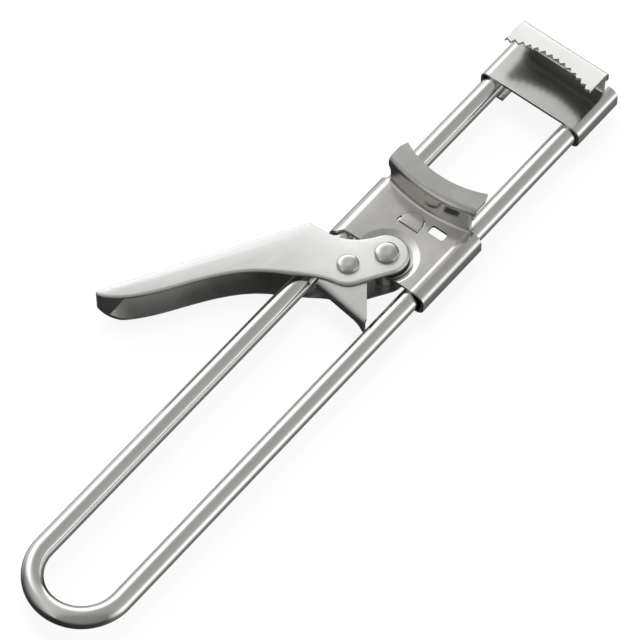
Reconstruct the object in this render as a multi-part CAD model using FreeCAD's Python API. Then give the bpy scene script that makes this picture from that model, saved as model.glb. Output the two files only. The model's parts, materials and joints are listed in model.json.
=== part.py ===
import FreeCAD, Part

import math
import os

# Adjustable jar opener. Two parallel rods of one bent wire carry a fixed jaw at their ends and a
# sliding jaw between. A lever squeezed towards the rods jams a pawl on one rod and drives the
# sliding jaw forward by a few millimetres, so that both jaws grip the lid.
#
# Frame, in millimetres: the origin is the centre of the wire's round bend, in the plane of the
# wire's centre line. +Y runs along the rods to the fixed jaw, and +Z is the side the jaws rise on.

# Wire frame
WIRE_RADIUS = 2.75
ROD_X = 12.0
ROD_END_Y = 189.6

# Stamped sheet of both jaws
SHEET = 0.8
CRIMP_GAP = 0.04
CRIMP_BEND = 2.1
SLIDE_GAP = 0.15
SLIDE_LEFT_GAP = 0.15
SLIDE_RIGHT_GAP = 0.75
SLIDE_LEFT_BEND = 3.3
SLIDE_RIGHT_BEND = 2.4
STEP_START_X = 12.0
STEP_END_X = 12.8
STEP_RISE = 0.12
STEP_BEND = 1.0
FLANGE_END_X = 8.5
SHEET_BEND = 1.2
JAW_TOP_Z = 12.0
JAW_HALF_WIDTH = 13.4
JAW_FOOT_HALF_WIDTH = 12.5
RELIEF_TOP_Z = 7.0
RELIEF_RADIUS = 2.5

# Fixed jaw
FIXED_FRONT_Y = 174.5
FIXED_FLANGE_END_Y = 190.8
FIXED_WALL_Y = 188.5
GRIP_RADIUS = 30.0
GRIP_MIDDLE_Y = 183.7
TOOTH_COUNT = 14
TOOTH_DEPTH = 1.0

# Sliding jaw
SLIDER_FRONT_Y = 110.4
SLIDER_LEFT_FLANGE_Y = 113.0
SLIDER_NOTCH_Y = 114.7
SLIDER_NOTCH_X = (-4.6, -1.6)
SLIDER_NOTCH_RADII = (1.5, 1.0)
SLIDER_EAR_WIDTH = 1.6
SLIDER_CORNER_RADIUS = 0.5
SLIDER_FLANGE_END_Y = 133.7
SLIDER_WALL_RADIUS = 42.0
SLIDER_WALL_MIDDLE_Y = 131.7
SLIDER_LIP_RADIUS = 28.0
SLIDER_LIP_MIDDLE_Y = 137.6
DISH_FLOOR_RADIUS = 6.7
DISH_RIM_RADIUS = 8.3
DISH_DEPTH = 0.55
DISH_BEND = 1.2
DISH_MARGIN = 1.5
TAB_MIDDLE = (-0.2, 127.4)
TAB_SIZE = (5.8, 4.8)
TAB_RISE = 0.6
TAB_RIM_RADIUS = 0.35
TAB_LEFT_SLIT = (0.8, 1.6)  # width and length
TAB_RIGHT_SLIT = (0.15, 4.0)
SLOT_MIDDLE = (6.7, 128.15)
SLOT_SIZE = (4.8, 2.6)
SLOT_CORNER_RADIUS = 0.7

# Lever
LEVER_SHEET = 0.95
LEVER_TOP_Z = 4.95
LEVER_BOTTOM_Z = -5.95
LEVER_FOLD_RADIUS = 0.75
LEVER_TIP_SWEEP = 9.5
LEVER_CORNER_RADIUS = 0.3
LEVER_END_RADII = (1.0, 0.8)
LEVER_BOSS_RADIUS = 5.8
LEVER_LOWER_BOSS_RADIUS = 4.9
LEVER_ELBOW = (-19.7, 110.3)
LEVER_TIP = (-48.6, 60.2)
LEVER_GRIP_EDGE = [(-45.3, 61.3), (-40.9, 64.6), (-31.9, 76.9), (-20.3, 91.1)]
LEVER_WAIST = (-10.4, 97.5)
LEVER_NECK = (-8.3, 113.0)
LEVER_GRIP_START_HEADING = 28.0
LEVER_GRIP_END_HEADING = 38.0
LEVER_WAIST_END_ANGLE = 283.0
LEVER_NECK_START_ANGLE = 148.0
LEVER_NECK_END = (-17.5, 110.45)
LEVER_NECK_END_HEADING = 183.0
WEB_END_GAP = 1.6
TIP_WALL_BOTTOM = 3.7
TIP_WALL_TOP = 8.6

# Pivots: A joins the lever to the sliding jaw, B joins the pawl to the lever
PIVOT_A = (1.1, 114.84)
PIVOT_B = (-4.31, 106.28)
SHANK_RADIUS = 2.0
TURNING_GAP = 0.05
FACE_GAP = 0.1
HEAD_RADIUS_A = 3.1
HEAD_RADIUS_B = 2.85
HEAD_HEIGHT = 1.2
HEAD_FLAT_RADIUS = 1.2
HEAD_RIM = 0.2
HEAD_SHOULDER_OUT = 0.35
HEAD_SHOULDER_DROP = 0.33
FIRM_GAP = 0.02
SPACER_RADIUS = 3.2
PAWL_SPACER_RADIUS = 3.0
WASHER_RADIUS = 4.6

# Locking pawl: folded along a line from its heel to its claw
PAWL_HEEL = (-7.9, 98.2)
PAWL_FOLD_ANGLE = -7.1
PAWL_LENGTH = 16.8
PAWL_TOP_Z = 3.85
PAWL_SHEET = 0.8
PAWL_BEND = 1.7
PAWL_WALL_Z = 0.45
PAWL_CLAW_Z = -1.3
PAWL_CLAW_START = 12.6
PAWL_CLAW_WIDTH = 0.7
PAWL_CLAW_CURVE = (1.1, 1.15)  # a point of the claw's inner curve, back from and above its tip
PAWL_BOSS_RADIUS = 3.6
PAWL_TIP_WIDTH = 1.2
PAWL_SHOULDER_OUT = 5.6
PAWL_SHOULDER_UP = 0.6
PAWL_CROWN_OUT = 2.1
PAWL_CORNER_RADIUS = 0.2
PAWL_SHOULDER_RADIUS = 1.5

SHEET_MIDDLE = SHEET / 2
LEVER_SPAN = 100.0  # longer than the lever, for the shapes that cut it
LEVER_INNER_TOP_Z = LEVER_TOP_Z - LEVER_SHEET
LEVER_INNER_BOTTOM_Z = LEVER_BOTTOM_Z + LEVER_SHEET


def point(x, y, z=0.0):
    return FreeCAD.Vector(x, y, z)


def line(start, end):
    return Part.LineSegment(start, end).toShape()


def arc(start, middle, end):
    return Part.Arc(start, middle, end).toShape()


def on_circle(centre, radius, degrees):
    angle = math.radians(degrees)
    return point(centre[0] + radius * math.cos(angle), centre[1] + radius * math.sin(angle))


def heading(degrees):
    return on_circle((0, 0), 1.0, degrees)


def rounded_path(corners, radii):
    """Edges of an open polyline, each inner corner rounded by a tangent arc."""
    edges = []
    start = corners[0]
    for before, corner, after, radius in zip(corners, corners[1:], corners[2:], radii):
        back = (before - corner).normalize()
        ahead = (after - corner).normalize()
        half_angle = back.getAngle(ahead) / 2
        reach = radius / math.tan(half_angle)
        arc_start = corner + back * reach
        arc_end = corner + ahead * reach
        inward = (back + ahead).normalize()
        arc_middle = corner + inward * (radius / math.sin(half_angle) - radius)
        if start.distanceToPoint(arc_start) > 1e-6:
            edges.append(line(start, arc_start))
        edges.append(arc(arc_start, arc_middle, arc_end))
        start = arc_end
    edges.append(line(start, corners[-1]))
    return edges


def rounded_outline(corners, radii):
    """Closed face in the XY plane: a polygon with every corner rounded."""
    middle = (corners[-1] + corners[0]) * 0.5
    path = [middle] + corners + [middle]
    return Part.Face(Part.Wire(rounded_path(path, radii)))


def polygon_face(corners):
    return Part.Face(Part.makePolygon(corners + corners[:1]))


def side_of_sheet(corners, offset):
    """The corners of a polyline moved sideways by offset, to the left of its direction."""
    headings = [(b - a).normalize() for a, b in zip(corners, corners[1:])]
    normals = [point(-h.y, h.x) for h in headings]
    moved = [corners[0] + normals[0] * offset]
    for corner, first, second in zip(corners[1:], normals, normals[1:]):
        moved.append(corner + (first + second) * (offset / (1 + first.dot(second))))
    moved.append(corners[-1] + normals[-1] * offset)
    return moved


def folded_section(corners, bends, thickness):
    """Section of a folded sheet. Corners and bend radii are those of the sheet's middle line."""
    half = thickness / 2
    steps = [b - a for a, b in zip(corners, corners[1:])]
    turns = [math.copysign(1, a.x * b.y - a.y * b.x) for a, b in zip(steps, steps[1:])]
    left = rounded_path(side_of_sheet(corners, half), [r - t * half for r, t in zip(bends, turns)])
    right = rounded_path(side_of_sheet(corners, -half), [r + t * half for r, t in zip(bends, turns)])
    ends = [
        line(side_of_sheet(corners, half)[i], side_of_sheet(corners, -half)[i]) for i in (0, -1)
    ]
    return Part.Face(Part.Wire(Part.__sortEdges__(left + right + ends)))


def stood_up(section, turn_z=0.0):
    """A section drawn in XY, stood up so that its second axis is Z, then turned about Z."""
    standing = section.copy()
    standing.rotate(point(0, 0), point(1, 0), 90)
    standing.rotate(point(0, 0), point(0, 0, 1), turn_z)
    return standing


def prism(face, bottom, top):
    base = face.copy()
    base.translate(point(0, 0, bottom))
    return base.extrude(point(0, 0, top - bottom))


def box(low, high):
    size = [b - a for a, b in zip(low, high)]
    return Part.makeBox(*size, point(*low))


def cylinder(centre, radius, bottom, top):
    return Part.makeCylinder(radius, top - bottom, point(centre[0], centre[1], bottom))


def revolved(section, centre, turn_start=0.0, turn=360.0):
    """A section in radius and Z, turned about the vertical line through centre."""
    standing = stood_up(section, turn_start)
    standing.translate(point(*centre))
    return standing.revolve(point(*centre), point(0, 0, 1), turn)


# ---------------------------------------------------------------- wire frame


def make_wire_frame():
    left, right = -ROD_X, ROD_X
    path = Part.Wire([
        line(point(left, ROD_END_Y), point(left, 0)),
        arc(point(left, 0), point(0, -ROD_X), point(right, 0)),
        line(point(right, 0), point(right, ROD_END_Y)),
    ])
    section = Part.Wire(Part.makeCircle(WIRE_RADIUS, point(left, ROD_END_Y), point(0, 1, 0)))
    return path.makePipeShell([section], True, False)


# ---------------------------------------------------------------- jaws


def gripping_channel(section, front_y, end_y):
    """The part of a jaw that wraps both rods: a plate with a C-shaped flange on its left and right."""
    standing = stood_up(section)
    standing.translate(point(0, end_y))
    return standing.extrude(point(0, front_y - end_y))


def crimped_section():
    """Section of the fixed jaw's plate and flanges, pressed tight on the rods."""
    level = WIRE_RADIUS + CRIMP_GAP + SHEET_MIDDLE
    side = ROD_X + level
    corners = [
        point(-FLANGE_END_X, -level),
        point(-side, -level),
        point(-side, level),
        point(side, level),
        point(side, -level),
        point(FLANGE_END_X, -level),
    ]
    return folded_section(corners, [CRIMP_BEND] * 4, SHEET)


def sliding_section():
    """Section of the sliding jaw's plate and flanges. The plate steps up before its right flange."""
    level = WIRE_RADIUS + SLIDE_GAP + SHEET_MIDDLE
    left = ROD_X + WIRE_RADIUS + SLIDE_LEFT_GAP + SHEET_MIDDLE
    right = ROD_X + WIRE_RADIUS + SLIDE_RIGHT_GAP + SHEET_MIDDLE
    corners = [
        point(-FLANGE_END_X, -level),
        point(-left, -level),
        point(-left, level),
        point(STEP_START_X, level),
        point(STEP_END_X, level + STEP_RISE),
        point(right, level + STEP_RISE),
        point(right, -level),
        point(FLANGE_END_X, -level),
    ]
    bends = [SLIDE_LEFT_BEND] * 2 + [STEP_BEND] * 2 + [SLIDE_RIGHT_BEND] * 2
    return folded_section(corners, bends, SHEET)


def plate_top(gap):
    return WIRE_RADIUS + gap + SHEET


def side_reliefs(low_y, high_y):
    """Notches that narrow the lower half of a jaw's wall, each with a rounded top."""
    low = (JAW_FOOT_HALF_WIDTH, low_y, 0)
    high = (JAW_FOOT_HALF_WIDTH + 2 * RELIEF_RADIUS, high_y, RELIEF_TOP_Z)
    crown_place = point(JAW_FOOT_HALF_WIDTH + RELIEF_RADIUS, low_y, RELIEF_TOP_Z)
    crown = Part.makeCylinder(RELIEF_RADIUS, high_y - low_y, crown_place, point(0, 1, 0))
    right = box(low, high).fuse(crown)
    return right.fuse(right.mirror(point(0, 0), point(1, 0)))


def make_fixed_jaw():
    wall_middle = FIXED_WALL_Y + SHEET_MIDDLE
    bend_start = FIXED_WALL_Y - SHEET_BEND + SHEET_MIDDLE
    plate_middle_z = plate_top(CRIMP_GAP) - SHEET_MIDDLE
    channel = gripping_channel(crimped_section(), FIXED_FRONT_Y, FIXED_FLANGE_END_Y)
    foot = JAW_FOOT_HALF_WIDTH
    channel = channel.cut(box((-foot, bend_start, 0), (foot, FIXED_FLANGE_END_Y + 1, JAW_TOP_Z)))

    profile = [
        point(bend_start - 1, plate_middle_z),
        point(wall_middle, plate_middle_z),
        point(wall_middle, JAW_TOP_Z - SHEET_MIDDLE),
        point(FIXED_FRONT_Y, JAW_TOP_Z - SHEET_MIDDLE),
    ]
    wall = stood_up(folded_section(profile, [SHEET_BEND] * 2, SHEET), 90)
    wall.translate(point(-JAW_HALF_WIDTH, 0))
    wall = wall.extrude(point(2 * JAW_HALF_WIDTH, 0))
    wall = wall.cut(side_reliefs(bend_start - 2, FIXED_FLANGE_END_Y + 1))
    wall = wall.cut(prism(toothed_outline(), SHEET_BEND + plate_top(CRIMP_GAP), JAW_TOP_Z + 1))
    return channel.fuse(wall).removeSplitter()


def toothed_outline():
    """The space in front of the fixed jaw's lip; its far side is the lip's row of teeth."""
    centre = (0, GRIP_MIDDLE_Y - GRIP_RADIUS)
    half_angle = math.degrees(math.asin((JAW_HALF_WIDTH + 0.2) / GRIP_RADIUS))
    step = half_angle / TOOTH_COUNT
    teeth = []
    for i in range(2 * TOOTH_COUNT + 1):
        depth = TOOTH_DEPTH * (i % 2)
        teeth.append(on_circle(centre, GRIP_RADIUS + depth, 90 - half_angle + i * step))
    front = FIXED_FRONT_Y - 1
    side = JAW_HALF_WIDTH + 1
    return polygon_face([point(side, front), point(side, teeth[0].y)] + teeth
                        + [point(-side, teeth[0].y), point(-side, front)])


def slider_wall():
    """The sliding jaw's curved wall and lip, bent up from its plate about the lid's centre."""
    centre = (0, SLIDER_WALL_MIDDLE_Y + SLIDER_WALL_RADIUS)
    wall_middle = SLIDER_WALL_RADIUS - SHEET_MIDDLE
    profile = [
        point(SLIDER_WALL_RADIUS + SHEET_BEND - SHEET_MIDDLE + 0.01, plate_top(SLIDE_GAP) - SHEET_MIDDLE),
        point(wall_middle, plate_top(SLIDE_GAP) - SHEET_MIDDLE),
        point(wall_middle, JAW_TOP_Z - SHEET_MIDDLE),
        point(SLIDER_LIP_RADIUS, JAW_TOP_Z - SHEET_MIDDLE),
    ]
    half_angle = math.degrees(math.asin(JAW_HALF_WIDTH / wall_middle)) + 2
    wall = revolved(folded_section(profile, [SHEET_BEND] * 2, SHEET), centre,
                    270 - half_angle, 2 * half_angle)
    grip_centre = (0, SLIDER_LIP_MIDDLE_Y + SLIDER_LIP_RADIUS)
    wall = wall.cut(cylinder(grip_centre, SLIDER_LIP_RADIUS, SHEET_BEND + plate_top(SLIDE_GAP), 20))
    wall = wall.common(box((-JAW_HALF_WIDTH, 0, 0), (JAW_HALF_WIDTH, ROD_END_Y, JAW_TOP_Z + 1)))
    return wall.cut(side_reliefs(SLIDER_WALL_MIDDLE_Y, SLIDER_WALL_MIDDLE_Y + 5))


def slider_outline():
    """Plan of the sliding jaw before its wall: notched at the front where the pawl turns."""
    side = ROD_X + 2 * WIRE_RADIUS
    far = SLIDER_FLANGE_END_Y + 1
    corners = [
        point(side, SLIDER_FRONT_Y),
        point(side, far),
        point(-side, far),
        point(-side, SLIDER_LEFT_FLANGE_Y),
        point(-ROD_X - SLIDER_EAR_WIDTH, SLIDER_LEFT_FLANGE_Y),
        point(-ROD_X, SLIDER_NOTCH_Y),
        point(SLIDER_NOTCH_X[0], SLIDER_NOTCH_Y),
        point(SLIDER_NOTCH_X[1], SLIDER_FRONT_Y),
    ]
    return rounded_outline(corners, [SLIDER_CORNER_RADIUS] * 6 + list(SLIDER_NOTCH_RADII))


def dish():
    """The round recess about pivot A, with its hole left open."""
    rim_z = plate_top(SLIDE_GAP) - SHEET_MIDDLE
    floor_z = rim_z - DISH_DEPTH
    profile = [
        point(SHANK_RADIUS, floor_z),
        point(DISH_FLOOR_RADIUS, floor_z),
        point(DISH_RIM_RADIUS, rim_z),
        point(DISH_RIM_RADIUS + DISH_MARGIN, rim_z),
    ]
    return revolved(folded_section(profile, [DISH_BEND] * 2, SHEET), PIVOT_A)


def tab_outline(margin=0.0):
    """D shape: a straight front side and a round far side, grown by a margin all round."""
    width, depth = TAB_SIZE
    x, y = TAB_MIDDLE
    radius = width / 2 + margin
    front = y - depth / 2 - margin
    shoulder = y + depth / 2 - width / 2
    left = point(x - radius, front)
    right = point(x + radius, front)
    return Part.Face(Part.Wire([
        line(left, right),
        line(right, point(x + radius, shoulder)),
        arc(point(x + radius, shoulder), point(x, shoulder + radius), point(x - radius, shoulder)),
        line(point(x - radius, shoulder), left),
    ]))


def tab_slit(side, size, top):
    """The lanced gap beside the raised tab, on its left (side -1) or its right (side 1)."""
    width, length = size
    low, high = top - SHEET - 1, top + TAB_RISE + 1
    gap = prism(tab_outline(width), low, high).cut(prism(tab_outline(), low, high))
    x, y = TAB_MIDDLE
    front = y - TAB_SIZE[1] / 2
    left, right = sorted([x + side * TAB_SIZE[0] / 4, x + side * TAB_SIZE[0]])
    return gap.common(box((left, front, low), (right, front + length, high)))


def slot_outline():
    length, width = SLOT_SIZE
    x, y = SLOT_MIDDLE
    half = length / 2
    corners = [
        point(x - half, y - width / 2),
        point(x + half, y - width / 2),
        point(x + half, y + width / 2),
        point(x - half, y + width / 2),
    ]
    return rounded_outline(corners, [SLOT_CORNER_RADIUS] * 4)


def make_sliding_jaw():
    top = plate_top(SLIDE_GAP)
    wall_centre = (0, SLIDER_WALL_MIDDLE_Y + SLIDER_WALL_RADIUS)
    bend_start = SLIDER_WALL_RADIUS + SHEET_BEND - SHEET_MIDDLE
    jaw = gripping_channel(sliding_section(), SLIDER_FRONT_Y - 1, SLIDER_FLANGE_END_Y)
    foot = JAW_FOOT_HALF_WIDTH
    jaw = jaw.cut(cylinder(wall_centre, bend_start, 0, JAW_TOP_Z).common(
        box((-foot, 0, 0), (foot, ROD_END_Y, JAW_TOP_Z))))

    dish_outer = DISH_RIM_RADIUS + DISH_MARGIN
    jaw = jaw.cut(cylinder(PIVOT_A, dish_outer, 0, top + 1)).fuse(dish())
    jaw = jaw.common(prism(slider_outline(), -10, JAW_TOP_Z))

    tab = prism(tab_outline(), top - SHEET, top)
    raised_tab = tab.copy()
    raised_tab.translate(point(0, 0, TAB_RISE))
    rim = [edge for edge in raised_tab.Edges if edge.BoundBox.ZMin > top]
    raised_tab = raised_tab.makeFillet(TAB_RIM_RADIUS, rim)
    slits = tab_slit(-1, TAB_LEFT_SLIT, top).fuse(tab_slit(1, TAB_RIGHT_SLIT, top))
    jaw = jaw.cut(tab).fuse(raised_tab).cut(slits)
    jaw = jaw.cut(prism(slot_outline(), 0, top + 1))
    return jaw.fuse(slider_wall()).removeSplitter()


# ---------------------------------------------------------------- lever

LEVER_ALONG = (point(*LEVER_ELBOW) - point(*LEVER_TIP)).normalize()
LEVER_ACROSS = point(LEVER_ALONG.y, -LEVER_ALONG.x)


def smooth_curve(points, start_heading, end_heading):
    """A smooth curve through all points, with its direction given at both ends."""
    curve = Part.BSplineCurve()
    curve.interpolate(Points=points, InitialTangent=heading(start_heading),
                      FinalTangent=heading(end_heading))
    return curve.toShape()


def boss_arc(pivot, radius, start, end):
    return arc(*[on_circle(pivot, radius, angle) for angle in (start, (start + end) / 2, end)])


def lever_outline(boss_radius):
    """Plan of the lever: bosses round both pivots, a neck, and an arm with a straight outer edge."""
    pivots = math.degrees(math.atan2(PIVOT_A[1] - PIVOT_B[1], PIVOT_A[0] - PIVOT_B[0]))
    b_start, b_end = LEVER_WAIST_END_ANGLE, pivots + 270
    a_start, a_end = pivots - 90, LEVER_NECK_START_ANGLE
    grip = [point(*p) for p in LEVER_GRIP_EDGE]
    neck_end = point(*LEVER_NECK_END)
    waist = [grip[-1], point(*LEVER_WAIST), on_circle(PIVOT_B, boss_radius, b_start)]
    neck = [on_circle(PIVOT_A, boss_radius, a_end), point(*LEVER_NECK), neck_end]
    arm = [neck_end, point(*LEVER_ELBOW), point(*LEVER_TIP), grip[0]]
    return Part.Face(Part.Wire([
        smooth_curve(grip, LEVER_GRIP_START_HEADING, LEVER_GRIP_END_HEADING),
        smooth_curve(waist, LEVER_GRIP_END_HEADING, b_start + 90),
        boss_arc(PIVOT_B, boss_radius, b_start, b_end),
        line(on_circle(PIVOT_B, boss_radius, b_end), on_circle(PIVOT_A, boss_radius, a_start)),
        boss_arc(PIVOT_A, boss_radius, a_start, a_end),
        smooth_curve(neck, a_end + 90, LEVER_NECK_END_HEADING),
    ] + rounded_path(arm, LEVER_END_RADII)))


def lever_side_view(inset):
    """The lever as seen from its side, made solid: the underside sweeps up to the tip."""
    corners = [
        point(inset, LEVER_TOP_Z + 1),
        point(LEVER_SPAN, LEVER_TOP_Z + 1),
        point(LEVER_SPAN, LEVER_BOTTOM_Z + inset),
        point(inset, LEVER_BOTTOM_Z + inset),
    ]
    section = rounded_outline(corners, [LEVER_CORNER_RADIUS] * 3 + [LEVER_TIP_SWEEP - inset])
    section = stood_up(section, math.degrees(math.atan2(LEVER_ALONG.y, LEVER_ALONG.x)))
    section.translate(point(*LEVER_TIP) - LEVER_ACROSS * LEVER_SPAN / 2)
    return section.extrude(LEVER_ACROSS * LEVER_SPAN)


def lever_hollow():
    """The space between the lever's plates, open on the near side. It leaves the web and the tip's wall."""
    tip = point(*LEVER_TIP)
    grip_next = point(*LEVER_GRIP_EDGE[1])
    tip_edge = (grip_next - tip).normalize()
    into = point(-tip_edge.y, tip_edge.x)
    web_end = point(*LEVER_ELBOW) + LEVER_ACROSS * LEVER_SHEET - LEVER_ALONG * WEB_END_GAP
    beyond_web = web_end - LEVER_ACROSS * 4 * LEVER_SHEET
    right_of_lever = PIVOT_A[0] + 3 * LEVER_BOSS_RADIUS
    corners = [
        tip + LEVER_ACROSS * LEVER_SHEET + LEVER_ALONG * 3 * LEVER_SHEET,
        grip_next + into * LEVER_SHEET,
        grip_next + LEVER_ACROSS * 2 * LEVER_BOSS_RADIUS,
        point(right_of_lever, LEVER_GRIP_EDGE[-1][1]),
        point(right_of_lever, PIVOT_A[1] + 2 * LEVER_BOSS_RADIUS),
        beyond_web + LEVER_ALONG * 2 * LEVER_BOSS_RADIUS,
        beyond_web,
        web_end,
    ]
    plan = rounded_outline(corners, [LEVER_FOLD_RADIUS] + [LEVER_CORNER_RADIUS] * 7)

    mouth = stood_up(polygon_face([
        point(TIP_WALL_BOTTOM, LEVER_INNER_BOTTOM_Z),
        point(TIP_WALL_TOP, LEVER_INNER_TOP_Z),
        point(2 * TIP_WALL_TOP, LEVER_INNER_TOP_Z),
        point(2 * TIP_WALL_TOP, LEVER_INNER_BOTTOM_Z),
    ]), math.degrees(math.atan2(tip_edge.y, tip_edge.x)))
    mouth.translate(tip + into * 1.5 * LEVER_SHEET)
    mouth = mouth.extrude(into * -5 * LEVER_SHEET)
    hollow = prism(plan, LEVER_INNER_BOTTOM_Z, LEVER_INNER_TOP_Z).fuse(mouth)
    return hollow.common(lever_side_view(LEVER_SHEET))


def lever_folds(body):
    """The level edges of both plates that lie along the web and round the tip."""
    elbow = point(*LEVER_ELBOW)
    folds = []
    for edge in body.Edges:
        ends = [edge.valueAt(edge.FirstParameter), edge.valueAt(edge.LastParameter)]
        level = all(min(abs(end.z - LEVER_TOP_Z), abs(end.z - LEVER_BOTTOM_Z)) < 1e-3 for end in ends)
        at_web = all(abs((end - elbow).dot(LEVER_ACROSS)) < LEVER_SHEET for end in ends)
        if level and at_web:
            folds.append(edge)
    return folds


def make_lever():
    upper = prism(lever_outline(LEVER_BOSS_RADIUS), 0, LEVER_TOP_Z)
    lower = prism(lever_outline(LEVER_LOWER_BOSS_RADIUS), LEVER_BOTTOM_Z, 0)
    body = upper.fuse(lower).removeSplitter()
    body = body.makeFillet(LEVER_FOLD_RADIUS, lever_folds(body))
    body = body.common(lever_side_view(0)).cut(lever_hollow())
    body = body.cut(cylinder(PIVOT_A, SHANK_RADIUS + TURNING_GAP, -JAW_TOP_Z, JAW_TOP_Z))
    return body.cut(cylinder(PIVOT_B, SHANK_RADIUS + FIRM_GAP, -JAW_TOP_Z, JAW_TOP_Z))


# ---------------------------------------------------------------- pivots


def rivet_half(head_radius, seat_z):
    """Half section of a rivet from its middle to the top of a domed, slightly flattened head."""
    top = seat_z + HEAD_HEIGHT
    rim = point(head_radius, seat_z + HEAD_RIM)
    shoulder = point((HEAD_FLAT_RADIUS + head_radius) / 2 + HEAD_SHOULDER_OUT, top - HEAD_SHOULDER_DROP)
    return Part.Face(Part.Wire([
        line(point(0, 0), point(SHANK_RADIUS, 0)),
        line(point(SHANK_RADIUS, 0), point(SHANK_RADIUS, seat_z)),
        line(point(SHANK_RADIUS, seat_z), point(head_radius, seat_z)),
        line(point(head_radius, seat_z), rim),
        arc(rim, shoulder, point(HEAD_FLAT_RADIUS, top)),
        line(point(HEAD_FLAT_RADIUS, top), point(0, top)),
        line(point(0, top), point(0, 0)),
    ]))


def make_rivet(pivot, head_radius, play):
    """A rivet through both plates of the lever, with its two heads the given play clear of them."""
    upper = revolved(rivet_half(head_radius, LEVER_TOP_Z + play), pivot)
    lower = revolved(rivet_half(head_radius, play - LEVER_BOTTOM_Z), pivot)
    lower = lower.mirror(point(0, 0), point(0, 0, 1))
    return upper.fuse(lower).removeSplitter()


def make_ring(pivot, radius, bottom, top):
    return cylinder(pivot, radius, bottom, top).cut(
        cylinder(pivot, SHANK_RADIUS + TURNING_GAP, bottom - 1, top + 1))


# ---------------------------------------------------------------- pawl


def make_locking_pawl():
    """Drawn with its fold along X from the origin, then turned and moved to its place."""
    middle = PAWL_SHEET / 2
    plate_z = PAWL_TOP_Z - middle
    profile = [
        point(PAWL_LENGTH, plate_z),
        point(middle, plate_z),
        point(middle, PAWL_CLAW_Z),
    ]
    sheet = stood_up(folded_section(profile, [PAWL_BEND], PAWL_SHEET), 90)
    sheet = sheet.extrude(point(PAWL_LENGTH, 0))

    claw_x = PAWL_LENGTH - PAWL_CLAW_WIDTH
    curve_back, curve_up = PAWL_CLAW_CURVE
    low = PAWL_CLAW_Z - 1
    below_wall = Part.Face(Part.Wire([
        line(point(-1, low), point(-1, PAWL_WALL_Z)),
        line(point(-1, PAWL_WALL_Z), point(PAWL_CLAW_START, PAWL_WALL_Z)),
        arc(point(PAWL_CLAW_START, PAWL_WALL_Z),
            point(claw_x - curve_back, PAWL_CLAW_Z + curve_up),
            point(claw_x, PAWL_CLAW_Z)),
        line(point(claw_x, PAWL_CLAW_Z), point(claw_x, low)),
        line(point(claw_x, low), point(-1, low)),
    ]))
    below_wall = stood_up(below_wall)
    below_wall.translate(point(0, PAWL_BEND))
    sheet = sheet.cut(below_wall.extrude(point(0, -2 * PAWL_BEND)))

    sheet.rotate(point(0, 0), point(0, 0, 1), PAWL_FOLD_ANGLE)
    sheet.translate(point(*PAWL_HEEL))

    fold = heading(PAWL_FOLD_ANGLE)
    heel = point(*PAWL_HEEL)
    x, y = PIVOT_B
    corners = [
        heel - point(0, 1),
        heel + fold * PAWL_LENGTH - point(0, 1),
        heel + fold * PAWL_LENGTH + point(0, PAWL_TIP_WIDTH),
        point(x + PAWL_SHOULDER_OUT, y + PAWL_SHOULDER_UP),
        point(x + PAWL_CROWN_OUT, y + PAWL_BOSS_RADIUS),
        point(x - PAWL_BOSS_RADIUS, y + PAWL_BOSS_RADIUS),
    ]
    outline = rounded_outline(
        corners, [PAWL_CORNER_RADIUS] * 3 + [PAWL_SHOULDER_RADIUS] * 2 + [PAWL_BOSS_RADIUS])
    sheet = sheet.common(prism(outline, PAWL_CLAW_Z - 1, PAWL_TOP_Z + 1))
    return sheet.cut(cylinder(PIVOT_B, SHANK_RADIUS + TURNING_GAP, PAWL_WALL_Z, PAWL_TOP_Z + 1))


# ---------------------------------------------------------------- all pieces


dish_top_z = plate_top(SLIDE_GAP) - DISH_DEPTH
pawl_bottom_z = PAWL_TOP_Z - PAWL_SHEET
pieces = {
    "wire_frame": make_wire_frame(),
    "fixed_jaw": make_fixed_jaw(),
    "sliding_jaw": make_sliding_jaw(),
    "lever": make_lever(),
    "locking_pawl": make_locking_pawl(),
    "pivot_rivet": make_rivet(PIVOT_A, HEAD_RADIUS_A, FACE_GAP),
    "pawl_rivet": make_rivet(PIVOT_B, HEAD_RADIUS_B, 0),
    "pivot_washer": make_ring(PIVOT_A, WASHER_RADIUS, dish_top_z, LEVER_INNER_TOP_Z - FACE_GAP),
    "pivot_spacer": make_ring(PIVOT_A, SPACER_RADIUS, LEVER_INNER_BOTTOM_Z + FACE_GAP, dish_top_z - SHEET),
    "pawl_spacer": make_ring(PIVOT_B, PAWL_SPACER_RADIUS, LEVER_INNER_BOTTOM_Z, pawl_bottom_z - FACE_GAP),
}

os.makedirs("parts", exist_ok=True)
for name, shape in pieces.items():
    size = shape.BoundBox
    print(f"{name:14s} solids {len(shape.Solids)} valid {shape.isValid()} volume {shape.Volume:8.1f}"
          f"  X {size.XMin:7.2f} {size.XMax:7.2f}  Y {size.YMin:7.2f} {size.YMax:7.2f}"
          f"  Z {size.ZMin:6.2f} {size.ZMax:6.2f}")
    shape.exportStep(f"parts/{name}.step")
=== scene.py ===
import json
import math

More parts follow.
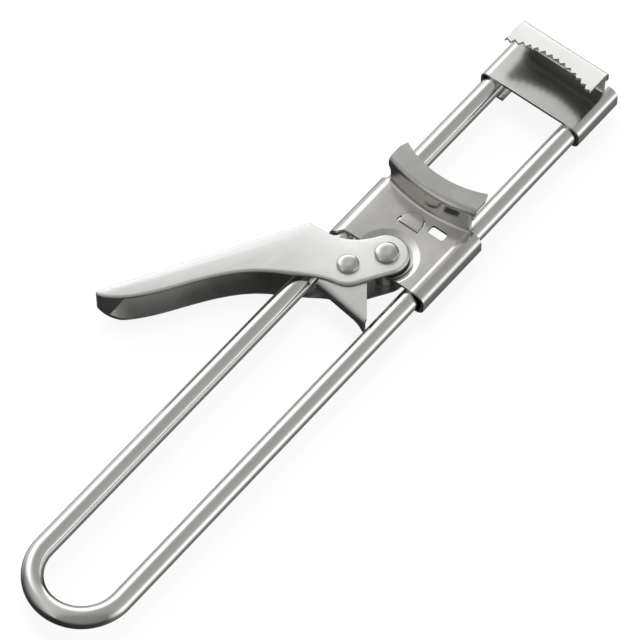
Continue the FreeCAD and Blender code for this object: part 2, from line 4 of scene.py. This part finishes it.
import bmesh
import bpy
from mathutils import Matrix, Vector


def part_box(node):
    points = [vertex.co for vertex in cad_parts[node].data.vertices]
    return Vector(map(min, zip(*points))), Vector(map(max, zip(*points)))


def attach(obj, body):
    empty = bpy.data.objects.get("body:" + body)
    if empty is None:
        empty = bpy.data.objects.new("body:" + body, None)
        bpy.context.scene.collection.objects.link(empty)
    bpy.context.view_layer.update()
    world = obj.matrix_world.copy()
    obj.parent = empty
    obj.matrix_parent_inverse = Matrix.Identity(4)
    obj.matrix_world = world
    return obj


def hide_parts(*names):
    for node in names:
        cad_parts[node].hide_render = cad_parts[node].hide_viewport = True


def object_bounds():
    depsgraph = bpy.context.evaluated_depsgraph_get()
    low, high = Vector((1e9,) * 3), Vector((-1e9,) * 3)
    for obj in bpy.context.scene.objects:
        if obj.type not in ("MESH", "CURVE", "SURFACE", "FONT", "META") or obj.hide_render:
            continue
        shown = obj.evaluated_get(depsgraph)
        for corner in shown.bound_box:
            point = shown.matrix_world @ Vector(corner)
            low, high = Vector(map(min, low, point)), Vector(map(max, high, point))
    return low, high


# Looks of the adjustable jar opener. Metres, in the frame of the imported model: +Y along the rods
# to the fixed jaw, +Z the side the jaws rise on, the origin at the centre of the wire's bend.

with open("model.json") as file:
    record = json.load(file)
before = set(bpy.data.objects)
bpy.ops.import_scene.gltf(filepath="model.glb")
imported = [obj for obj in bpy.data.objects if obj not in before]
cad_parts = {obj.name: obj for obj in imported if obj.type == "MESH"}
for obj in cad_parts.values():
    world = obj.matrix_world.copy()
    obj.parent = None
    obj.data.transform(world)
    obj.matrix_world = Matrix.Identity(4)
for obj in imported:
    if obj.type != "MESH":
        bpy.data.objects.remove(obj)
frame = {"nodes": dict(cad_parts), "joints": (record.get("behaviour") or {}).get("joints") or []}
cad_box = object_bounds()
MM = 0.001


# ---------------------------------------------------------------- sizes and places

def size_of(node):
    low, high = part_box(node)
    return high - low


joint_places = {j["name"]: Vector(j["pos_m"]) for j in frame["joints"] if "pos_m" in j}
PIVOT_A = joint_places["lever_pivot"]
PIVOT_B = joint_places["pawl_pivot"]

WIRE_RADIUS = size_of("wire_frame").z / 2
WIRE_CHAMFER = 0.35 * MM
ROD_X = size_of("wire_frame").x / 2 - WIRE_RADIUS
ROD_END_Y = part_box("wire_frame")[1].y

HEAD_HEIGHT = 1.2 * MM
SHANK_RADIUS = 2.0 * MM
HEAD_SEAT_SHARE = 0.78  # of the head's radius, where it meets the sheet
HEAD_CROWN_SHARE = 0.36  # of the head's radius, the flat on top
HEAD_WIDEST_SHARE = 0.35  # of the head's height

SHEET_EDGE_ROUNDING = 0.14 * MM
SPACER_EDGE_ROUNDING = 0.08 * MM
LEVER_SHEET = 0.95 * MM
LEVER_ACROSS = Vector((0.866, -0.5, 0))  # level, nearly square to the lever's grip, towards the rods
LIP_SHEET_DEPTH = 1.0 * MM  # faces this near the top of a jaw and facing up are its lip
LIP_UNDER_DEPTH = 7.5 * MM
LIP_UNDER_START = 0.9 * MM
TAB_PLACE = Vector((-0.2, 127.4, 4.0)) * MM
TAB_REACH = 4.3 * MM

WELD_DISTANCE = 0.002 * MM
FLAT_ANGLE = 0.4  # degrees: faces that meet at less are joined into one
SHEET_SHARP_ANGLE = 48
LATHE_SHARP_ANGLE = 40
WIRE_SHARP_ANGLE = 30

FLOOR_Z = cad_box[0][2]
FLOOR_HALF_SIDE = 3.0
FLOOR_TONE = 0.12
FLOOR_GLOW = 0.89

CEILING_PLACE = Vector((-0.2, 0.3, 1.2))
CEILING_AIM = Vector((0, 0.09, 0))
CEILING_SIZE = 0.6
CEILING_WATTS = 6

CAMERA_AIM = Vector((0, 0.095, 0))
CAMERA_ELEVATION = math.radians(56.5)
CAMERA_AZIMUTH = math.radians(38.77)
CAMERA_DISTANCE = 1.212
CAMERA_LENS = 277
CAMERA_SENSOR = 36
CAMERA_SHIFT = (-0.020, -0.009)
CAMERA_CLIP = 0.05


# ---------------------------------------------------------------- materials

class Nodes:
    """A short way to add and link shader nodes in one tree."""

    def __init__(self, tree):
        self.tree = tree
        tree.nodes.clear()

    def add(self, kind, values=None, **settings):
        node = self.tree.nodes.new(kind)
        for key, value in settings.items():
            setattr(node, key, value)
        for key, value in (values or {}).items():
            node.inputs[key].default_value = value
        return node

    def link(self, start, start_socket, end, end_socket):
        self.tree.links.new(start.outputs[start_socket], end.inputs[end_socket])


def grey(value, warmth=0.0):
    return (value, value * (1 - 0.3 * warmth), value * (1 - warmth), 1)


SCRATCH_ROUGHNESS = 0.0875  # added where the steel is scratched
RELIEF_DEPTH = 0.00004


def steel(name, tone, roughness, grain=(1.0, 1.0, 1.0), grain_depth=0.2, warmth=0.02, mottling=0.06):
    """Stainless steel. Grain gives the noise's scale along X, Y and Z; brushing runs along the low one."""
    material = bpy.data.materials.new(name)
    material.use_nodes = True
    nodes = Nodes(material.node_tree)
    out = nodes.add("ShaderNodeOutputMaterial")
    shader = nodes.add("ShaderNodeBsdfPrincipled", {"Metallic": 1.0})
    place = nodes.add("ShaderNodeTexCoord")
    stretch = nodes.add("ShaderNodeMapping", {"Scale": grain})
    fine = nodes.add("ShaderNodeTexNoise", {"Scale": 2600.0, "Detail": 5.0, "Roughness": 0.62})
    clouds = nodes.add("ShaderNodeTexNoise", {"Scale": 110.0, "Detail": 3.0, "Roughness": 0.5})
    marks = nodes.add("ShaderNodeTexNoise", {
        "Scale": 420.0, "Detail": 7.0, "Roughness": 0.75, "Distortion": 1.4,
    })
    nodes.link(place, "Object", stretch, "Vector")
    nodes.link(stretch, "Vector", fine, "Vector")
    nodes.link(place, "Object", clouds, "Vector")
    nodes.link(place, "Object", marks, "Vector")

    shade = nodes.add("ShaderNodeValToRGB")
    darker, lighter = shade.color_ramp.elements
    darker.position = 0.32
    darker.color = grey(tone * (1 - mottling), warmth)
    lighter.position = 0.68
    lighter.color = grey(tone, warmth)
    nodes.link(clouds, "Fac", shade, "Fac")
    nodes.link(shade, "Color", shader, "Base Color")

    rubbed = nodes.add("ShaderNodeMapRange", {
        "From Min": 0.3, "From Max": 0.7,
        "To Min": roughness * 0.82, "To Max": roughness * 1.2,
    })
    scratched = nodes.add("ShaderNodeMapRange", {
        "From Min": 0.62, "From Max": 0.74,
        "To Min": 0.0, "To Max": SCRATCH_ROUGHNESS,
    })
    total = nodes.add("ShaderNodeMath", operation="ADD")
    nodes.link(fine, "Fac", rubbed, "Value")
    nodes.link(marks, "Fac", scratched, "Value")
    nodes.link(rubbed, "Result", total, 0)
    nodes.link(scratched, "Result", total, 1)
    nodes.link(total, "Value", shader, "Roughness")

    relief = nodes.add("ShaderNodeBump", {"Strength": grain_depth, "Distance": RELIEF_DEPTH})
    nodes.link(fine, "Fac", relief, "Height")
    nodes.link(relief, "Normal", shader, "Normal")
    nodes.link(shader, "BSDF", out, "Surface")
    return material


# Some faces of one sheet get a darker steel than the rest of it. They stand in for dark things
# that the real steel mirrors and this studio doesn't have.
wire_steel = steel("wire_polished", 0.66, 0.13, grain=(1.0, 0.02, 1.0), grain_depth=0.08, mottling=0.04)
jaw_steel = steel("fixed_jaw_polished", 0.66, 0.20, grain=(0.03, 1.0, 1.0), grain_depth=0.07,
                  mottling=0.10)
# Painted shade: darker steel under the fixed jaw's lip and on the wall below it, so that the polished plate
# mirrors them dark.
lip_under_shade_steel = steel("fixed_jaw_painted_shade_inside", 0.36, 0.30, grain=(0.03, 1.0, 1.0), grain_depth=0.10)
# Satin finish on the lip's top, with a lighter tone than the plate as a painted highlight.
jaw_lip_satin_highlight_steel = steel("fixed_jaw_satin_lip_painted_highlight", 0.88, 0.45, grain=(0.03, 1.0, 1.0), grain_depth=0.22)
slider_steel = steel("sliding_jaw_polished", 0.61, 0.17, grain=(1.0, 0.05, 1.0), grain_depth=0.12,
                     warmth=0.05, mottling=0.16)
# Satin finish on the lip's top, with a darker tone than the plate as a painted dark reflection.
slider_lip_satin_reflection_steel = steel("sliding_jaw_satin_lip_painted_reflection", 0.46, 0.30, grain=(0.04, 1.0, 1.0), grain_depth=0.3,
                         warmth=0.04, mottling=0.22)
# Painted shade on the cut sides round the sliding jaw's raised tab.
lanced_tab_shade_steel = steel("lanced_tab_sides_painted_shade", 0.22, 0.40, grain=(1.0, 1.0, 0.06), grain_depth=0.3)
lever_steel = steel("lever_satin", 0.80, 0.42, grain=(1.0, 0.25, 1.0), grain_depth=0.18, warmth=0.0,
                    mottling=0.07)
# Painted shade inside the lever's channel: a slightly darker, more mottled steel than its outside.
lever_inner_shade_steel = steel("lever_painted_shade_inside", 0.76, 0.34, grain=(0.2, 1.0, 1.0), grain_depth=0.3,
                          mottling=0.25)
pawl_steel = steel("pawl_satin", 0.60, 0.26, grain=(0.06, 1.0, 1.0), grain_depth=0.11)
rivet_steel = steel("rivet_polished", 0.54, 0.17, grain=(1.0, 1.0, 0.3), grain_depth=0.12)
edge_steel = steel("sheared_edge", 0.62, 0.28, grain=(1.0, 1.0, 0.06), grain_depth=0.4, mottling=0.15)


# ---------------------------------------------------------------- mesh helpers

def new_piece(name, mesh, body, nodes):
    piece = bpy.data.objects.new(name, mesh)
    bpy.context.scene.collection.objects.link(piece)
    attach(piece, body)
    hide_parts(*nodes)
    return piece


def smooth_by_angle(mesh, degrees):
    """Smooth shading everywhere but across edges sharper than the angle."""
    limit = math.radians(degrees)
    work = bmesh.new()
    work.from_mesh(mesh)
    for face in work.faces:
        face.smooth = True
    for edge in work.edges:
        edge.smooth = len(edge.link_faces) == 2 and edge.calc_face_angle() < limit
    work.to_mesh(mesh)
    work.free()


def bake_modifiers(piece):
    """Gives the piece the mesh that its modifiers make, and takes them off."""
    bpy.context.view_layer.update()
    evaluated = piece.evaluated_get(bpy.context.evaluated_depsgraph_get())
    finished = bpy.data.meshes.new_from_object(evaluated)
    piece.modifiers.clear()
    piece.data = finished


def sheet_piece(node, body, material, bevel=SHEET_EDGE_ROUNDING, repaint=None):
    """A finer copy of a CAD sheet: welded, with its sheared edges rounded off and painted as edges."""
    mesh = frame["nodes"][node].data.copy()
    mesh.name = node + "_sheet"
    work = bmesh.new()
    work.from_mesh(mesh)
    bmesh.ops.remove_doubles(work, verts=work.verts, dist=WELD_DISTANCE)
    bmesh.ops.dissolve_limit(work, angle_limit=math.radians(FLAT_ANGLE), verts=work.verts,
                             edges=work.edges)
    bmesh.ops.recalc_face_normals(work, faces=work.faces)
    work.to_mesh(mesh)
    work.free()
    mesh.materials.clear()
    mesh.materials.append(material)
    mesh.materials.append(edge_steel)

    piece = new_piece(node + "_piece", mesh, body, [node])
    rounding = piece.modifiers.new("rounded_edges", "BEVEL")
    rounding.width = bevel
    rounding.segments = 2
    rounding.limit_method = "ANGLE"
    rounding.angle_limit = math.radians(SHEET_SHARP_ANGLE)
    rounding.material = 1
    rounding.harden_normals = True
    rounding.use_clamp_overlap = True
    smooth_by_angle(mesh, SHEET_SHARP_ANGLE)
    bake_modifiers(piece)
    if repaint:
        repaint(piece.data)


def lathe_piece(name, profile, centre, body, nodes, material, segments=96):
    """A solid of revolution about the vertical line through centre.

    The profile is a list of (radius, z) from axis to axis.
    """
    work = bmesh.new()
    rings = []
    for radius, z in profile:
        if radius < 1e-9:
            rings.append([work.verts.new((centre.x, centre.y, z))])
            continue
        rings.append([
            work.verts.new((centre.x + radius * math.cos(a), centre.y + radius * math.sin(a), z))
            for a in (2 * math.pi * i / segments for i in range(segments))
        ])
    for lower, upper in zip(rings, rings[1:]):
        for i in range(segments):
            corners = [lower[i % len(lower)], lower[(i + 1) % len(lower)],
                       upper[(i + 1) % len(upper)], upper[i % len(upper)]]
            unique = list(dict.fromkeys(corners))
            work.faces.new(unique)
    bmesh.ops.recalc_face_normals(work, faces=work.faces)
    mesh = bpy.data.meshes.new(name)
    work.to_mesh(mesh)
    work.free()
    mesh.materials.append(material)
    smooth_by_angle(mesh, LATHE_SHARP_ANGLE)
    new_piece(name, mesh, body, nodes)


# ---------------------------------------------------------------- wire frame

def make_wire():
    """A round wire swept along both rods and the bend, with a small chamfer at each end."""
    around = 64
    rod_steps = 24
    bend_steps = 96
    back = Vector((0, -1, 0))
    ahead_again = Vector((0, 1, 0))
    end_radius = WIRE_RADIUS - WIRE_CHAMFER
    straight = [ROD_END_Y - WIRE_CHAMFER]
    straight += [ROD_END_Y * (1 - i / rod_steps) for i in range(1, rod_steps)]

    stations = [(Vector((-ROD_X, ROD_END_Y, 0)), back, end_radius)]
    stations += [(Vector((-ROD_X, y, 0)), back, WIRE_RADIUS) for y in straight]
    for i in range(bend_steps + 1):
        angle = math.pi + math.pi * i / bend_steps
        radial = Vector((math.cos(angle), math.sin(angle), 0))
        stations.append((radial * ROD_X, Vector((-radial.y, radial.x, 0)), WIRE_RADIUS))
    stations += [(Vector((ROD_X, y, 0)), ahead_again, WIRE_RADIUS) for y in reversed(straight)]
    stations.append((Vector((ROD_X, ROD_END_Y, 0)), ahead_again, end_radius))

    work = bmesh.new()
    rings = []
    for place, ahead, radius in stations:
        side = ahead.cross(Vector((0, 0, 1)))
        rings.append([
            work.verts.new(place + side * radius * math.cos(a) + Vector((0, 0, radius * math.sin(a))))
            for a in (2 * math.pi * i / around for i in range(around))
        ])
    for first, second in zip(rings, rings[1:]):
        for i in range(around):
            j = (i + 1) % around
            work.faces.new([first[i], first[j], second[j], second[i]])
    work.faces.new(rings[0])
    work.faces.new(list(reversed(rings[-1])))
    bmesh.ops.recalc_face_normals(work, faces=work.faces)
    mesh = bpy.data.meshes.new("wire")
    work.to_mesh(mesh)
    work.free()
    mesh.materials.append(wire_steel)
    smooth_by_angle(mesh, WIRE_SHARP_ANGLE)
    new_piece("wire_piece", mesh, "frame", ["wire_frame"])


# ---------------------------------------------------------------- rivets

def rivet_end(end_z, head_radius):
    """Half profile from the middle of the shank to the crown of a button head, upward from z = 0."""
    under_steps = 7
    dome_steps = 14
    seat = end_z - HEAD_HEIGHT
    under = HEAD_SEAT_SHARE * head_radius
    widest = seat + HEAD_WIDEST_SHARE * HEAD_HEIGHT
    flat = HEAD_CROWN_SHARE * head_radius
    profile = [(SHANK_RADIUS, 0.0), (SHANK_RADIUS, seat), (under, seat)]
    for i in range(1, under_steps):
        t = math.pi / 2 * i / under_steps
        profile.append((under + (head_radius - under) * math.sin(t), widest - (widest - seat) * math.cos(t)))
    for i in range(dome_steps + 1):
        t = math.pi / 2 * i / dome_steps
        profile.append((flat + (head_radius - flat) * math.cos(t), widest + (end_z - widest) * math.sin(t)))
    return profile + [(flat * 0.5, end_z), (0.0, end_z)]


def rivet(name, node, centre, body):
    """A solid rivet with a button head at each end."""
    low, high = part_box(node)
    head_radius = size_of(node).x / 2
    upper = rivet_end(high.z, head_radius)
    lower = [(r, -z) for r, z in reversed(rivet_end(-low.z, head_radius)[1:])]
    lathe_piece(name, lower + upper, centre, body, [node], rivet_steel)


# ---------------------------------------------------------------- painting of single faces

def repaint_faces(mesh, material, chosen):
    """Gives a material to the main faces, not the rounded edges, that the test chooses."""
    mesh.materials.append(material)
    slot = len(mesh.materials) - 1
    for face in mesh.polygons:
        if face.material_index == 0 and chosen(face.center, face.normal):
            face.material_index = slot


def lip_of(node):
    """A test for the faces on top of a jaw's folded lip."""
    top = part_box(node)[1].z
    return lambda centre, normal: centre.z > top - LIP_SHEET_DEPTH and normal.z > 0.8


def paint_fixed_jaw(mesh):
    """A satin lip on top, lighter as a painted highlight, and painted shade on the underside and wall, which
    show mirrored in the plate.
    """
    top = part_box("fixed_jaw")[1].z

    def inside(centre, normal):
        underside = centre.z > top - LIP_UNDER_DEPTH and normal.z < -0.3
        wall = top - LIP_UNDER_DEPTH < centre.z < top - LIP_UNDER_START and normal.y < -0.5
        return underside or wall

    repaint_faces(mesh, jaw_lip_satin_highlight_steel, lip_of("fixed_jaw"))
    repaint_faces(mesh, lip_under_shade_steel, inside)


def paint_sliding_jaw(mesh):
    """A satin lip on top, darker as a painted dark reflection, and painted shade on the cut sides round the
    raised tab.
    """

    def tab_side(centre, normal):
        return (centre - TAB_PLACE).length < TAB_REACH and abs(normal.z) < 0.3

    repaint_faces(mesh, slider_lip_satin_reflection_steel, lip_of("sliding_jaw"))
    repaint_faces(mesh, lanced_tab_shade_steel, tab_side)


def paint_lever_inside(mesh):
    """Paints shade on the faces inside the lever's folded channel: a slightly darker, more mottled steel
    than its outside.
    """
    low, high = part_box("lever")

    def chosen(centre, normal):
        between_plates = low.z + LEVER_SHEET / 2 < centre.z < high.z - LEVER_SHEET / 2
        return between_plates and (abs(normal.z) > 0.9 or normal.dot(LEVER_ACROSS) > 0.3)

    repaint_faces(mesh, lever_inner_shade_steel, chosen)


# ---------------------------------------------------------------- build the pieces

make_wire()
sheet_piece("fixed_jaw", "frame", jaw_steel, repaint=paint_fixed_jaw)
sheet_piece("sliding_jaw", "carriage", slider_steel, repaint=paint_sliding_jaw)
sheet_piece("lever", "lever", lever_steel, repaint=paint_lever_inside)
sheet_piece("locking_pawl", "pawl", pawl_steel)
rivet("pivot_rivet_piece", "pivot_rivet", PIVOT_A, "carriage")
rivet("pawl_rivet_piece", "pawl_rivet", PIVOT_B, "lever")
for node, body in (("pivot_washer", "carriage"), ("pivot_spacer", "carriage"), ("pawl_spacer", "lever")):
    sheet_piece(node, body, rivet_steel, bevel=SPACER_EDGE_ROUNDING)


# ---------------------------------------------------------------- floor, light and camera

def make_floor():
    """A flat white floor. Most of its brightness is its own glow, so that shadows on it stay faint."""
    mesh = bpy.data.meshes.new("floor")
    side = FLOOR_HALF_SIDE
    mesh.from_pydata([(-side, -side, FLOOR_Z), (side, -side, FLOOR_Z), (side, side, FLOOR_Z),
                      (-side, side, FLOOR_Z)], [], [(0, 1, 2, 3)])
    floor = bpy.data.objects.new("floor", mesh)
    bpy.context.scene.collection.objects.link(floor)
    material = bpy.data.materials.new("white_sweep")
    material.use_nodes = True
    shader = material.node_tree.nodes["Principled BSDF"]
    shader.inputs["Base Color"].default_value = grey(FLOOR_TONE)
    shader.inputs["Roughness"].default_value = 0.9
    shader.inputs["Specular IOR Level"].default_value = 0.0
    shader.inputs["Emission Color"].default_value = grey(1.0)
    shader.inputs["Emission Strength"].default_value = FLOOR_GLOW
    mesh.materials.append(material)
    floor.visible_glossy = False


# The studio that polished steel mirrors: its brightness by the angle round the rods from straight
# up, in degrees, negative to the left and positive to the right. The first levels behind the tool
# were worked out from grey levels read across the rods in the reference photograph. They
# have been changed since, and still follow that profile.
STUDIO_BEHIND = [
    (-180, 0.05), (-130, 0.12), (-108, 0.90), (-94, 0.80), (-82, 0.78), (-66, 1.60), (-51, 2.30),
    (-38, 1.90), (-25, 0.80), (-12, 0.52), (2, 0.47), (22, 0.50), (57, 0.54), (70, 0.80), (82, 1.50),
    (96, 1.80), (108, 1.20), (122, 0.42), (142, 0.22), (160, 0.20), (180, 0.10),
]
STUDIO_FRONT = [
    (-180, 0.03), (-120, 0.05), (-90, 0.20), (-50, 0.55), (-22, 0.85), (5, 0.35), (50, 0.30),
    (90, 0.25), (120, 0.06), (180, 0.03),
]
STUDIO_BLUE_SHARE = 0.985
MIX_COLOUR_A = 6  # socket numbers of a Mix node that mixes colours
MIX_COLOUR_B = 7
MIX_COLOUR_OUT = 2


def studio_ramp(nodes, stops):
    ramp = nodes.add("ShaderNodeValToRGB")
    elements = ramp.color_ramp.elements
    elements[0].position = 0.0
    elements[1].position = 1.0
    for _ in stops[2:]:
        elements.new(0.5)
    for element, (angle, value) in zip(elements, stops):
        element.position = (angle + 180) / 360
        element.color = (value, value, value * STUDIO_BLUE_SHARE, 1)
    return ramp


def make_studio():
    """Light from all round: one ramp for what is behind the tool, one for what is in front of it."""
    world = bpy.data.worlds.new("studio")
    bpy.context.scene.world = world
    world.use_nodes = True
    nodes = Nodes(world.node_tree)
    out = nodes.add("ShaderNodeOutputWorld")
    glow = nodes.add("ShaderNodeBackground")
    place = nodes.add("ShaderNodeTexCoord")
    parts = nodes.add("ShaderNodeSeparateXYZ")
    angle = nodes.add("ShaderNodeMath", operation="ARCTAN2")
    turn = nodes.add("ShaderNodeMapRange", {"From Min": -math.pi, "From Max": math.pi})
    behind = studio_ramp(nodes, STUDIO_BEHIND)
    front = studio_ramp(nodes, STUDIO_FRONT)
    side = nodes.add("ShaderNodeMapRange", {"From Min": -0.25, "From Max": 0.15})
    both = nodes.add("ShaderNodeMix", data_type="RGBA")
    nodes.link(place, "Generated", parts, "Vector")
    nodes.link(parts, "X", angle, 0)
    nodes.link(parts, "Z", angle, 1)
    nodes.link(angle, "Value", turn, "Value")
    nodes.link(turn, "Result", behind, "Fac")
    nodes.link(turn, "Result", front, "Fac")
    nodes.link(parts, "Y", side, "Value")
    nodes.link(side, "Result", both, "Factor")
    nodes.link(front, "Color", both, MIX_COLOUR_A)
    nodes.link(behind, "Color", both, MIX_COLOUR_B)
    nodes.link(both, MIX_COLOUR_OUT, glow, "Color")
    nodes.link(glow, "Background", out, "Surface")


def add_ceiling_light():
    """A soft light from above, which the steel doesn't mirror."""
    data = bpy.data.lights.new("ceiling", "AREA")
    data.shape = "DISK"
    data.size = CEILING_SIZE
    data.energy = CEILING_WATTS
    light = bpy.data.objects.new("ceiling", data)
    bpy.context.scene.collection.objects.link(light)
    light.location = CEILING_PLACE
    light.rotation_euler = (CEILING_AIM - CEILING_PLACE).to_track_quat("-Z", "Y").to_euler()
    light.visible_glossy = False


def add_camera():
    """Looks down on the rods from the front right; the whole tool fills the view."""
    level = math.cos(CAMERA_ELEVATION)
    towards_camera = Vector((math.sin(CAMERA_AZIMUTH) * level,
                             -math.cos(CAMERA_AZIMUTH) * level,
                             math.sin(CAMERA_ELEVATION)))
    data = bpy.data.cameras.new("camera")
    data.lens = CAMERA_LENS
    data.sensor_width = CAMERA_SENSOR
    data.shift_x, data.shift_y = CAMERA_SHIFT
    data.clip_start = CAMERA_CLIP
    camera = bpy.data.objects.new("camera", data)
    bpy.context.scene.collection.objects.link(camera)
    camera.location = CAMERA_AIM + towards_camera * CAMERA_DISTANCE
    camera.rotation_euler = (-towards_camera).to_track_quat("-Z", "Y").to_euler()
    bpy.context.scene.camera = camera


make_floor()
make_studio()
add_ceiling_light()
bpy.context.scene.view_settings.view_transform = "Standard"
add_camera()
